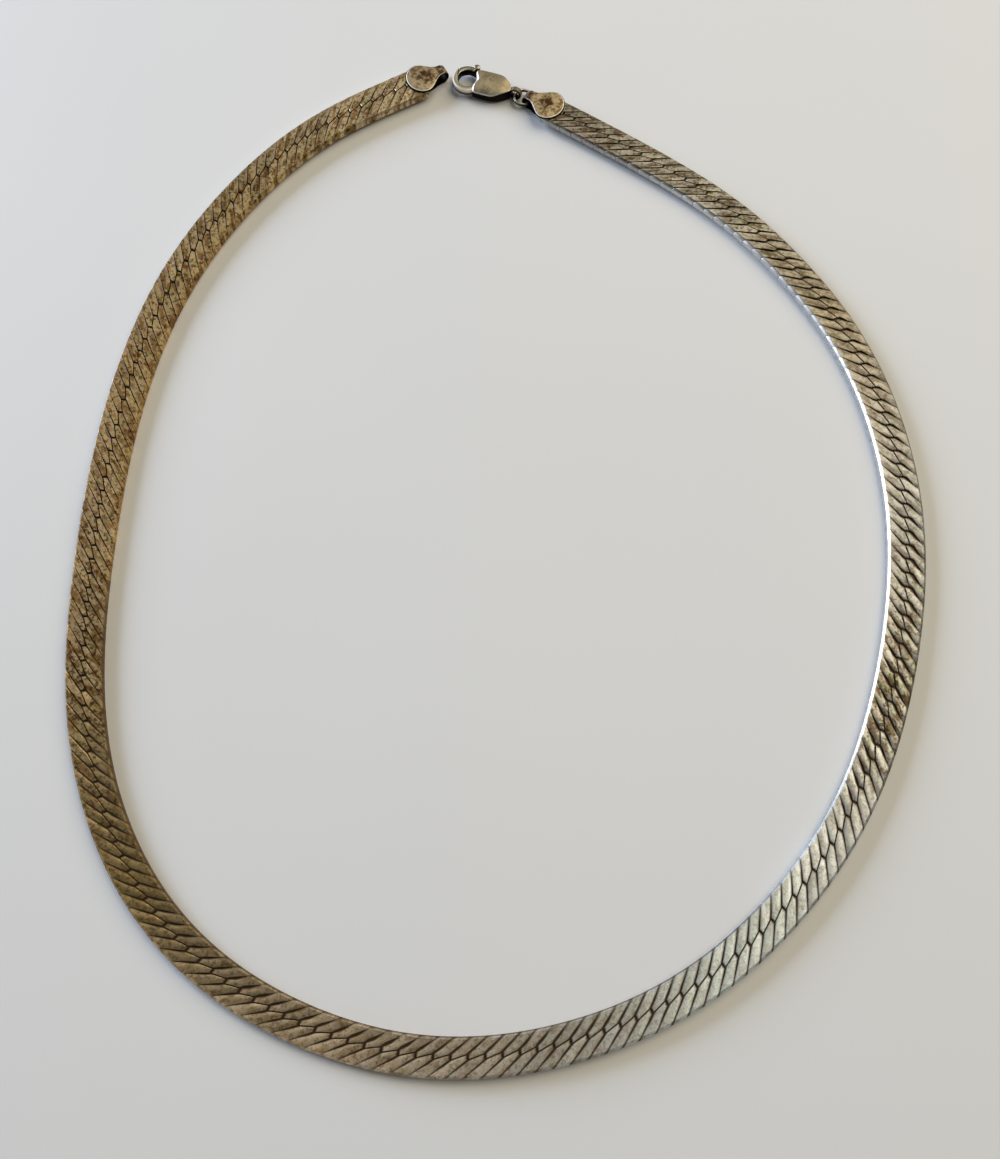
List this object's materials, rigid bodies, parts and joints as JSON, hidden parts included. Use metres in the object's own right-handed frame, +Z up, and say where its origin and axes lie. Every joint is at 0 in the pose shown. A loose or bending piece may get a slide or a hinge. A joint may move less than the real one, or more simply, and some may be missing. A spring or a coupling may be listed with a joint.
{
  "type": "herringbone chain necklace",
  "caption": "Flat silver herringbone chain necklace lying open, with folded end caps, a jump ring and a lobster clasp; tarnished.",
  "frame": {"origin": "on the surface the necklace lies on, under the middle of its outline", "axes": "+Z up from the surface, +Y from the bottom of the loop towards the clasp, +X across the loop to the side with the clasp's jump ring"},
  "size_m": [0.1324, 0.171, 0.0024],
  "materials": {
    "silver_links": "tarnished, satin",
    "silver_caps": "tarnished, satin",
    "silver_clasp": "tarnished, half polished"
  },
  "bodies": {
    "necklace": {"chain": "silver_links", "end_cap_left": "silver_caps", "end_cap_right": "silver_caps", "jump_ring": "silver_clasp", "clasp_body": "silver_clasp", "lever_pin": "silver_clasp"},
    "lever": {"clasp_lever": "silver_clasp"}
  },
  "joints": [
    {"name": "lever_hinge", "type": "hinge", "parent": "necklace", "child": "lever", "pos_m": [-0.00352, 0.08312, 0], "axis": [0, 0, 1], "range_deg": [0, 22], "stiffness_Nm_per_rad": 0.004, "springref_deg": -11.46}
  ]
}
